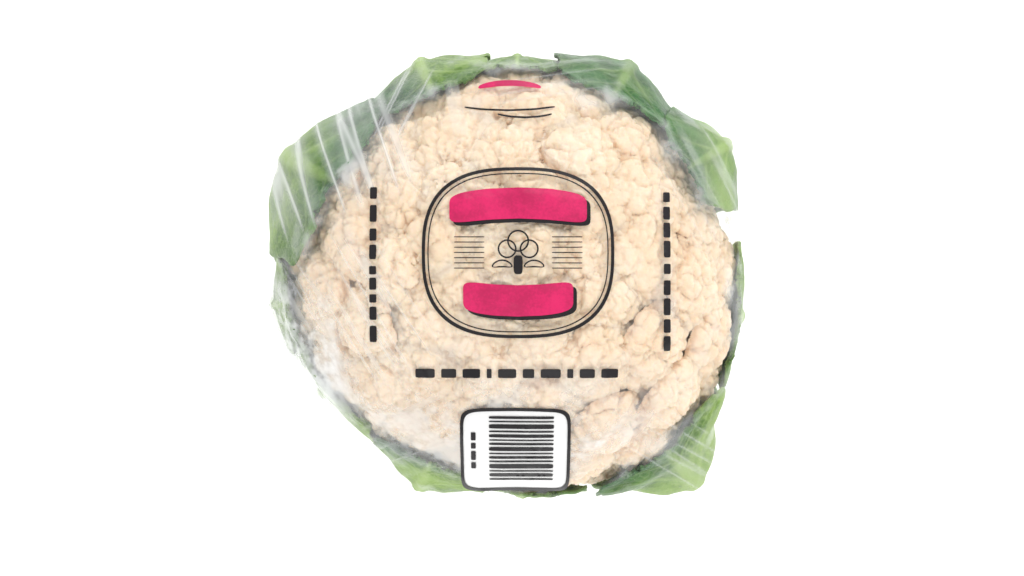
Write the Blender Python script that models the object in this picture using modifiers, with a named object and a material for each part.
"""A trimmed cauliflower head in its clear film wrap, standing on its closed gather.

Metres, +Z up. The origin is the centre of the flat closing label that the head
rests on. +X and +Y are the long and short way across the head.
"""
import math

import bmesh
import bpy
import numpy as np
from mathutils import Vector

# ---------------------------------------------------------------- driving sizes
HEAD_RADIUS = 0.0765           # mean radius of the curd at its widest
CROWN_HEIGHT = 0.112           # top of the curd above the rest face
EQUATOR_HEIGHT = 0.056         # height of the curd's widest ring
UNDERSIDE_DEPTH = 0.040        # from the widest ring down to the curd's underside
CROWN_POWER = 2.25             # 2 is an ellipse, more is fuller at the shoulder
UNDERSIDE_POWER = 2.4
FLORET_COUNT = 92              # lumps on the golden-angle spiral
FLORET_CROWDING = 0.56         # under 1: smaller steps down the head towards the rim
FLORET_LOWEST = -24.0          # degrees under the widest ring
FLORET_RADIUS_CROWN = 0.0100
FLORET_RADIUS_RIM = 0.0150
FLORET_SINK = 0.0052           # the core lies this far under the lumps' tops

STEM_RADIUS = 0.0205
STEM_FLARE = 0.0025            # how much wider the stem is where the curd begins
STEM_EDGE = 0.0012             # the butt's cut edge
STEM_SIDES = 24

LEAF_BLADE = 0.0012            # thickness of a leaf's blade
LEAF_RIB = 0.0058              # thickness of its midrib at the root
LEAF_ROOT_HEIGHT = 0.0125      # height of the leaves' roots on the stem
LEAF_STEP = 0.0028             # from one layer of leaves to the next
LEAF_CLEARANCE = 0.0012        # between the curd's form and the nearest leaves
# Shares of a leaf's length, from 0 at the root to 1 at the tip:
LEAF_SETTLED = 0.25            # from here on it lies in its own layer
LEAF_CLOSE = 0.55              # from here on it lies close to the curd
LEAF_SHOULDER_END = 0.60       # from here on it is at its full width
LEAF_FLANK = 0.74              # here it stands off the curd the most
LEAF_FLANK_LENGTH = 0.20
# Shares of a leaf's full width:
LEAF_ROOT_WIDTH = 0.66
LEAF_TIP_LOSS = 0.42           # how much narrower the tip is
LEAF_RIB_WIDTH = 0.42
LEAF_ROUNDING = 0.14           # how much shorter a leaf is at its margins than on its rib

FILM_THICK = 0.0003
FILM_CLEARANCE = 0.0012        # room between the film and what it wraps
GATHER_WIDTH = 0.0115          # how far the film is drawn in under the stem

LABEL_RADIUS = 0.0225
LABEL_THICK = 0.0005
LABEL_SIDES = 32

GAP = 0.0003                   # between pieces that touch
SHARP_ANGLE = 50.0             # degrees; edges that turn less than this look rounded

# The head isn't quite round: share of the radius, number of lobes, azimuth.
OUTLINE_LOBES = ((0.035, 1, -15.0), (0.038, 2, -19.0), (0.028, 3, -52.0))

# name, azimuth, half width (degrees), height of the tip, stand off the curd, layer
LEAVES = (
    ("leaf_01", 152.0, 26.0, 0.083, 0.0060, 2),
    ("leaf_02", 113.0, 19.0, 0.079, 0.0035, 1),
    ("leaf_03", 88.0, 14.0, 0.060, 0.0008, 0),
    ("leaf_04", 60.0, 19.0, 0.078, 0.0045, 1),
    ("leaf_05", 31.0, 15.5, 0.080, 0.0050, 2),
    ("leaf_06", -10.0, 19.0, 0.060, 0.0010, 0),
    ("leaf_07", -48.0, 21.0, 0.068, 0.0160, 1),
    ("leaf_08", -87.0, 18.0, 0.058, 0.0008, 0),
    ("leaf_09", -113.0, 18.0, 0.070, 0.0060, 1),
    ("leaf_10", -148.0, 20.0, 0.062, 0.0015, 0),
    ("leaf_11", 187.0, 13.0, 0.066, 0.0015, 1),
)

# ---------------------------------------------------------------- derived sizes
HEAD_CENTRE = Vector((0.0, 0.0, EQUATOR_HEIGHT))
GOLDEN_ANGLE = math.pi * (3.0 - math.sqrt(5.0))
STEM_FOOT = LABEL_THICK + GAP + FILM_THICK + FILM_CLEARANCE
CURD_FLOOR = EQUATOR_HEIGHT - UNDERSIDE_DEPTH + FLORET_SINK


# ---------------------------------------------------------------- the head's form
def outline(azimuth):
    """Radius of the curd's widest ring, seen from above."""
    swell = sum(share * math.cos(lobes * (azimuth - math.radians(toward)))
                for share, lobes, toward in OUTLINE_LOBES)
    return HEAD_RADIUS * (1.0 + swell)


def envelope(azimuth, elevation):
    """Distance from the head's centre to the surface that the lumps' tops touch."""
    if elevation > 0.0:
        rise = CROWN_HEIGHT - EQUATOR_HEIGHT
        power = CROWN_POWER
    else:
        rise = UNDERSIDE_DEPTH
        power = UNDERSIDE_POWER
    across = abs(math.cos(elevation)) / outline(azimuth)
    up = abs(math.sin(elevation)) / rise
    return (across ** power + up ** power) ** (-1.0 / power)


def direction(azimuth, elevation):
    """Unit vector from the head's centre."""
    return Vector((math.cos(elevation) * math.cos(azimuth),
                   math.cos(elevation) * math.sin(azimuth),
                   math.sin(elevation)))


def angles_of(vector):
    """Azimuth and elevation of a vector from the head's centre."""
    return (math.atan2(vector.y, vector.x),
            math.atan2(vector.z, math.hypot(vector.x, vector.y)))


def florets():
    """Centre and radius of each lump, from the crown to under the rim."""
    lumps = []
    drop = math.pi / 2.0 - math.radians(FLORET_LOWEST)
    for i in range(FLORET_COUNT):
        share = ((i + 0.4) / FLORET_COUNT) ** FLORET_CROWDING
        elevation = math.pi / 2.0 - share * drop
        azimuth = i * GOLDEN_ANGLE
        radius = FLORET_RADIUS_CROWN + (FLORET_RADIUS_RIM - FLORET_RADIUS_CROWN) * share
        reach = envelope(azimuth, elevation) - radius
        lumps.append((direction(azimuth, elevation) * reach, radius))
    return lumps


# ---------------------------------------------------------------- scene helpers
def material(name, colour, roughness, metallic=0.0):
    """A Principled material of one finish."""
    finish = bpy.data.materials.new(name)
    finish.use_nodes = True
    shader = finish.node_tree.nodes["Principled BSDF"]
    shader.inputs["Base Color"].default_value = (*colour, 1.0)
    shader.inputs["Roughness"].default_value = roughness
    shader.inputs["Metallic"].default_value = metallic
    return finish


def add_object(name, bm, finish, collection):
    """Put a finished bmesh in the part's collection as a smooth object."""
    mesh = bpy.data.meshes.new(name)
    bm.to_mesh(mesh)
    bm.free()
    mesh.materials.append(finish)
    mesh.shade_smooth()
    mesh.set_sharp_from_angle(angle=math.radians(SHARP_ANGLE))
    item = bpy.data.objects.new(name, mesh)
    collection.objects.link(item)
    return item


def world_points(item):
    """Every vertex of an object as its modifiers leave it."""
    graph = bpy.context.evaluated_depsgraph_get()
    shape = item.evaluated_get(graph)
    mesh = shape.to_mesh()
    points = [item.matrix_world @ vertex.co for vertex in mesh.vertices]
    shape.to_mesh_clear()
    return points


# ---------------------------------------------------------------- the pieces
def make_curd(finish, collection):
    """The grown white head: a core under lumps set on a golden-angle spiral."""
    lumps = florets()
    centres = np.array([list(centre) for centre, _ in lumps])
    radii = np.array([radius for _, radius in lumps])
    bm = bmesh.new()
    bmesh.ops.create_icosphere(bm, subdivisions=5, radius=1.0)
    for vertex in bm.verts:
        ray = vertex.co.normalized()
        azimuth, elevation = angles_of(ray)
        limit = envelope(azimuth, elevation)
        reach = limit - FLORET_SINK
        along = centres @ np.array(ray)
        off_axis = (centres ** 2).sum(axis=1) - along ** 2
        inside = radii ** 2 - off_axis
        hit = inside > 0.0
        if hit.any():
            reach = max(reach, float((along[hit] + np.sqrt(inside[hit])).max()))
        place = HEAD_CENTRE + ray * min(reach, limit)
        place.z = max(place.z, CURD_FLOOR)
        vertex.co = place
    return add_object("curd", bm, finish, collection)


def make_stem(finish, collection):
    """The cut stalk: a turned profile from its clean butt up to the curd."""
    top = CURD_FLOOR - GAP
    profile = [
        (0.0, top),
        (STEM_RADIUS + STEM_FLARE, top),
        (STEM_RADIUS, LEAF_ROOT_HEIGHT),
        (STEM_RADIUS, STEM_FOOT + STEM_EDGE),
        (STEM_RADIUS - STEM_EDGE, STEM_FOOT),
        (0.0, STEM_FOOT),
    ]
    mesh = bpy.data.meshes.new("stem")
    mesh.from_pydata([(radius, 0.0, z) for radius, z in profile],
                     [(i, i + 1) for i in range(len(profile) - 1)], [])
    mesh.materials.append(finish)
    stem = bpy.data.objects.new("stem", mesh)
    collection.objects.link(stem)
    turn = stem.modifiers.new("turn", "SCREW")
    turn.steps = STEM_SIDES
    turn.render_steps = STEM_SIDES
    turn.use_merge_vertices = True
    turn.merge_threshold = 0.00002
    return stem


def leaf_reach(along, across, azimuth, elevation, root, stand, layer):
    """Distance from the head's centre to a leaf's inner face.

    The leaf runs out from the stem under the curd, stands off it at the
    flank and lies against it at the margins and the tip.
    """
    settle = min(1.0, along / LEAF_SETTLED)
    close = envelope(azimuth, elevation) + LEAF_CLEARANCE + layer * LEAF_STEP * settle
    from_root = root.length - envelope(azimuth, math.atan2(root.y, root.x)) - LEAF_CLEARANCE
    lift = max(0.0, 1.0 - along / LEAF_CLOSE) ** 2 * from_root
    flank = math.exp(-((along - LEAF_FLANK) / LEAF_FLANK_LENGTH) ** 2)
    bulge = stand * flank * math.cos(0.5 * math.pi * across) ** 2
    return close + lift + bulge


def make_leaf(row, finish, collection):
    """One wrapper leaf: a blade over a midrib that is thickest at the root."""
    name, azimuth_deg, half_width_deg, tip_height, stand, layer = row
    root = Vector((STEM_RADIUS + GAP, LEAF_ROOT_HEIGHT - EQUATOR_HEIGHT))
    root_elevation = math.atan2(root.y, root.x)
    middle = math.radians(azimuth_deg)
    tip_elevation = math.atan2(tip_height - EQUATOR_HEIGHT, outline(middle))
    bm = bmesh.new()
    bmesh.ops.create_grid(bm, x_segments=6, y_segments=15, size=1.0)
    thickness = bm.verts.layers.deform.verify()
    for vertex in bm.verts:
        across = vertex.co.x
        along = 0.5 * (vertex.co.y + 1.0)
        spread = min(1.0, along / LEAF_SHOULDER_END)
        opening = spread * spread * (3.0 - 2.0 * spread)
        shoulder = LEAF_ROOT_WIDTH + (1.0 - LEAF_ROOT_WIDTH) * opening
        past = max(0.0, (along - LEAF_SHOULDER_END) / (1.0 - LEAF_SHOULDER_END))
        taper = 1.0 - LEAF_TIP_LOSS * past ** 2.2
        azimuth = middle + across * math.radians(half_width_deg) * shoulder * taper
        climb = along * (1.0 - LEAF_ROUNDING * across ** 2)
        elevation = root_elevation + (tip_elevation - root_elevation) * climb
        reach = leaf_reach(climb, across, azimuth, elevation, root, stand, layer)
        vertex.co = HEAD_CENTRE + direction(azimuth, elevation) * reach
        ridge = max(0.0, 1.0 - (across / LEAF_RIB_WIDTH) ** 2)
        thick = LEAF_BLADE + (LEAF_RIB - LEAF_BLADE) * ridge * (1.0 - along) ** 1.2
        vertex[thickness][0] = thick / LEAF_RIB
    bmesh.ops.recalc_face_normals(bm, faces=bm.faces)
    facing = sum(face.normal.dot(face.calc_center_median() - HEAD_CENTRE) for face in bm.faces)
    if facing < 0.0:
        bmesh.ops.reverse_faces(bm, faces=bm.faces)
    leaf = add_object(name, bm, finish, collection)
    leaf.vertex_groups.new(name="thickness")
    wall = leaf.modifiers.new("wall", "SOLIDIFY")
    wall.thickness = LEAF_RIB
    wall.offset = 1.0
    wall.vertex_group = "thickness"
    wall.thickness_vertex_group = 0.0
    return leaf


def make_film(contents, finish, collection):
    """Clear film drawn tight over everything and gathered under the stem."""
    bm = bmesh.new()
    for item in contents:
        for point in world_points(item):
            outward = (point - HEAD_CENTRE).normalized()
            bm.verts.new(point + outward * FILM_CLEARANCE)
    bmesh.ops.remove_doubles(bm, verts=bm.verts, dist=0.5 * FILM_CLEARANCE)
    result = bmesh.ops.convex_hull(bm, input=bm.verts)
    loose = {e for e in result["geom_interior"] if isinstance(e, bmesh.types.BMVert)}
    bmesh.ops.delete(bm, geom=list(loose), context="VERTS")
    bmesh.ops.recalc_face_normals(bm, faces=bm.faces)
    under = [face for face in bm.faces if face.normal.z < -0.99999]
    base = bmesh.ops.dissolve_faces(bm, faces=under)["region"][0]
    bmesh.ops.inset_individual(bm, faces=[base], thickness=GATHER_WIDTH)
    bmesh.ops.delete(bm, geom=[base], context="FACES")
    film = add_object("film_wrap", bm, finish, collection)
    wall = film.modifiers.new("wall", "SOLIDIFY")
    wall.thickness = FILM_THICK
    wall.offset = 1.0
    return film


def make_label(finish, collection):
    """The round sticker that closes the gathered film, and the face it rests on."""
    bm = bmesh.new()
    bmesh.ops.create_cone(bm, cap_ends=True, segments=LABEL_SIDES, radius1=LABEL_RADIUS,
                          radius2=LABEL_RADIUS, depth=LABEL_THICK)
    bmesh.ops.translate(bm, verts=bm.verts, vec=(0.0, 0.0, LABEL_THICK / 2.0))
    return add_object("closing_label", bm, finish, collection)


def main():
    for item in list(bpy.data.objects):
        bpy.data.objects.remove(item, do_unlink=True)
    collection = bpy.data.collections.new("cauliflower")
    bpy.context.scene.collection.children.link(collection)

    curd_finish = material("curd_cream", (0.88, 0.76, 0.60), 0.62)
    stem_finish = material("stem_pale", (0.70, 0.76, 0.48), 0.55)
    leaf_finish = material("leaf_green", (0.38, 0.53, 0.26), 0.50)
    film_finish = material("film_clear", (0.92, 0.94, 0.93), 0.12)
    label_finish = material("label_white", (0.90, 0.90, 0.88), 0.45)

    curd = make_curd(curd_finish, collection)
    stem = make_stem(stem_finish, collection)
    leaves = [make_leaf(row, leaf_finish, collection) for row in LEAVES]
    make_film([curd, stem, *leaves], film_finish, collection)
    make_label(label_finish, collection)


main()
